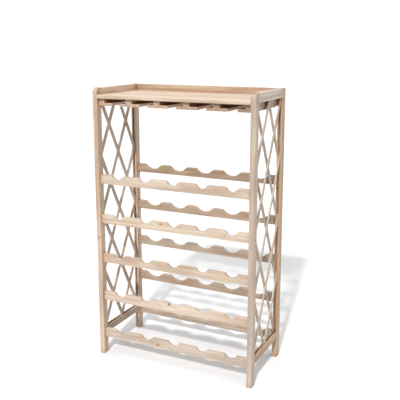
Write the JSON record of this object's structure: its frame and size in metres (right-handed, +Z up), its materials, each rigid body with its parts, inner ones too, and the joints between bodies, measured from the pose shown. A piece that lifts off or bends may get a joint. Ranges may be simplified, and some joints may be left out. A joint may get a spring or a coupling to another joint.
{
  "type": "wine rack",
  "caption": "Free-standing wooden wine rack: scalloped rails hold lying bottles between lattice sides, under a galleried tray with hanging slots for stemmed glasses.",
  "frame": {"origin": "centre of the footprint, on the floor", "axes": "+Z up, +Y to the back, +X to the right as seen from the front, where the bottle necks point"},
  "size_m": [0.54, 0.25, 0.88],
  "materials": {
    "frame_wood": "planed unfinished pale pine, satin",
    "lattice_wood": "planed unfinished pale pine, thin slats",
    "rail_wood": "planed unfinished pale pine, eased edges",
    "tray_wood": "edge-glued pale pine board, satin",
    "runner_wood": "planed unfinished pale pine, routed",
    "dowel_wood": "turned beech",
    "screw_steel": "zinc-plated"
  },
  "bodies": {
    "root": {"back_board": "tray_wood", "back_board_dowels": "dowel_wood", "body_rail_1": "rail_wood", "body_rail_2": "rail_wood", "body_rail_3": "rail_wood", "body_rail_4": "rail_wood", "body_rail_5": "rail_wood", "glass_runner_1": "runner_wood", "glass_runner_2": "runner_wood", "glass_runner_3": "runner_wood", "glass_runner_4": "runner_wood", "glass_runner_5": "runner_wood", "glass_runner_6": "runner_wood", "neck_rail_1": "rail_wood", "neck_rail_2": "rail_wood", "neck_rail_3": "rail_wood", "neck_rail_4": "rail_wood", "neck_rail_5": "rail_wood", "post_back_left": "frame_wood", "post_back_right": "frame_wood", "post_front_left": "frame_wood", "post_front_right": "frame_wood", "rail_dowels_back_left": "dowel_wood", "rail_dowels_back_right": "dowel_wood", "rail_dowels_front_left": "dowel_wood", "rail_dowels_front_right": "dowel_wood", "rail_screws_back_left": "screw_steel", "rail_screws_back_right": "screw_steel", "rail_screws_front_left": "screw_steel", "rail_screws_front_right": "screw_steel", "runner_screws": "screw_steel", "side_rail_bottom_left": "frame_wood", "side_rail_bottom_right": "frame_wood", "side_rail_dowels": "dowel_wood", "side_rail_top_left": "frame_wood", "side_rail_top_right": "frame_wood", "slat_left_falling_1": "lattice_wood", "slat_left_falling_2": "lattice_wood", "slat_left_falling_3": "lattice_wood", "slat_left_falling_4": "lattice_wood", "slat_left_falling_5": "lattice_wood", "slat_left_rising_1": "lattice_wood", "slat_left_rising_2": "lattice_wood", "slat_left_rising_3": "lattice_wood", "slat_left_rising_4": "lattice_wood", "slat_left_rising_5": "lattice_wood", "slat_right_falling_1": "lattice_wood", "slat_right_falling_2": "lattice_wood", "slat_right_falling_3": "lattice_wood", "slat_right_falling_4": "lattice_wood", "slat_right_falling_5": "lattice_wood", "slat_right_rising_1": "lattice_wood", "slat_right_rising_2": "lattice_wood", "slat_right_rising_3": "lattice_wood", "slat_right_rising_4": "lattice_wood", "slat_right_rising_5": "lattice_wood", "tray_floor": "tray_wood", "tray_screws": "screw_steel"}
  },
  "joints": []
}
